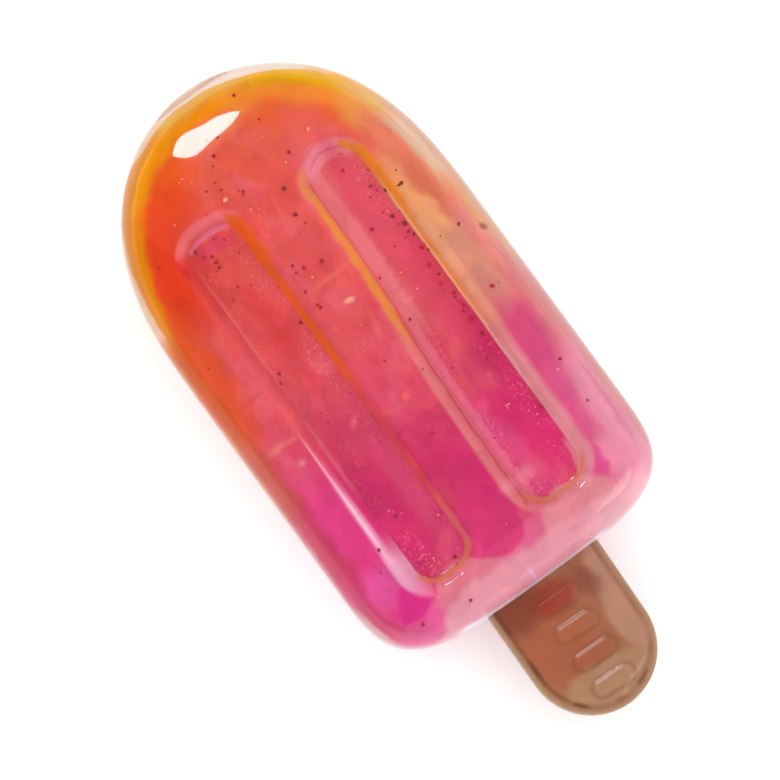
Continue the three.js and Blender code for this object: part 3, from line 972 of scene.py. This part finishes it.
def whitePaint():
    # matt paint, which glows a little so that the table stays white under the pop's shadow
    material, tree = newMaterial("matt white paint")
    surface = addNode(tree, "ShaderNodeBsdfPrincipled", {
        "Base Color": linearColour("#fafafa"), "Roughness": 0.9, "Specular IOR Level": 0.1,
        "Emission Color": linearColour("#ffffff"), "Emission Strength": room["floorGlow"],
    })
    finishMaterial(tree, surface)
    return material


half = room["floorSize"] / 2
floorPoints = [(-half, -half, 0), (half, -half, 0), (half, half, 0), (-half, half, 0)]
floor = meshPiece("floor", floorPoints, [(0, 1, 2, 3)], whitePaint(), smooth=False)
floor.location.z = -room["floorDrop"]

world = bpy.data.worlds.new("studio")
bpy.context.scene.world = world
world.use_nodes = True
sky = world.node_tree.nodes["Background"]
sky.inputs["Color"].default_value = (1, 1, 1, 1)
# dark cloths round the table keep the reflections of the white room faint
gloss = addNode(world.node_tree, "ShaderNodeLightPath").outputs["Is Glossy Ray"]
dimmed = addNode(world.node_tree, "ShaderNodeMapRange", {
    "To Min": room["world"], "To Max": room["reflected"]}, {"Value": gloss})
world.node_tree.links.new(dimmed.outputs["Result"], sky.inputs["Strength"])
bpy.context.scene.view_settings.view_transform = "Standard"

view = {"elevation": 84.0, "azimuth": -36.09, "distance": 0.7, "lens": 228.6,
        "aim": (-0.83 * mm, 3.07 * mm, -1.04 * mm)}
elevation, azimuth = math.radians(view["elevation"]), math.radians(view["azimuth"])
towards = Vector((math.sin(azimuth) * math.cos(elevation), -math.cos(azimuth) * math.cos(elevation),
                  math.sin(elevation)))
camera = bpy.data.objects.new("camera", bpy.data.cameras.new("camera"))
camera.data.lens = view["lens"]
camera.data.clip_start = 0.01
camera.location = Vector(view["aim"]) + towards * view["distance"]
camera.rotation_euler = towards.to_track_quat("Z", "Y").to_euler()
bpy.context.scene.collection.objects.link(camera)
bpy.context.scene.camera = camera


# A lamp with a slant is a window: it shows in reflections only, and its middle line slants by that much.
lamps = {
    "overhead": {
        "target": (0, 0, 0), "direction": (0.2, 0.1, 1), "distance": 1.2, "size": (1.2, 1.2), "power": 2.2,
    },
    "tip_window": {
        "target": (0, 0.0465, 0.018), "direction": (-0.009, 0.818, 0.575), "distance": 0.8,
        "size": (0.226, 0.39), "power": 10.5, "slant": 0.27,
    },
    "heel_window": {
        "target": (0.01, -0.02, 0.016), "direction": (0.5, -0.82, 0.3), "distance": 0.8,
        "size": (0.5, 0.3), "power": 1.6, "slant": 0.0,
    },
}


def windowShade(data, slant):
    # an eye-shaped opening with soft edges before the lamp
    data.use_nodes = True
    tree = data.node_tree
    glow = tree.nodes["Emission"]
    place = addNode(tree, "ShaderNodeNewGeometry").outputs["Parametric"]
    centred = addNode(tree, "ShaderNodeVectorMath", {
        "operation": "MULTIPLY_ADD", 1: (2, 2, 0), 2: (-1, -1, 0)}, {0: place})
    split = addNode(tree, "ShaderNodeSeparateXYZ", links={"Vector": centred.outputs[0]}).outputs
    level = addNode(tree, "ShaderNodeMath", {"operation": "MULTIPLY_ADD", 1: slant},
                    {0: split["X"], 2: split["Y"]}).outputs[0]
    up = addNode(tree, "ShaderNodeMath", {"operation": "ABSOLUTE"}, {0: level}).outputs[0]
    reach = addNode(tree, "ShaderNodeMath", {"operation": "MULTIPLY_ADD"},
                    {0: split["X"], 1: split["X"], 2: up}).outputs[0]
    mask = addNode(tree, "ShaderNodeMapRange", {
        "interpolation_type": "SMOOTHSTEP", "From Min": 1.0, "From Max": 0.82}, {"Value": reach})
    tree.links.new(mask.outputs["Result"], glow.inputs["Strength"])


for name, form in lamps.items():
    data = bpy.data.lights.new(name, "AREA")
    data.shape = "RECTANGLE"
    data.size, data.size_y = form["size"]
    data.energy = form["power"]
    lamp = bpy.data.objects.new(name, data)
    direction = Vector(form["direction"]).normalized()
    lamp.location = Vector(form["target"]) + direction * form["distance"]
    lamp.rotation_euler = direction.to_track_quat("Z", "Y").to_euler()
    lamp.visible_diffuse = "slant" not in form
    lamp.visible_glossy = "slant" in form
    if "slant" in form:
        windowShade(data, form["slant"])
    bpy.context.scene.collection.objects.link(lamp)
print("table, camera and lights ready")
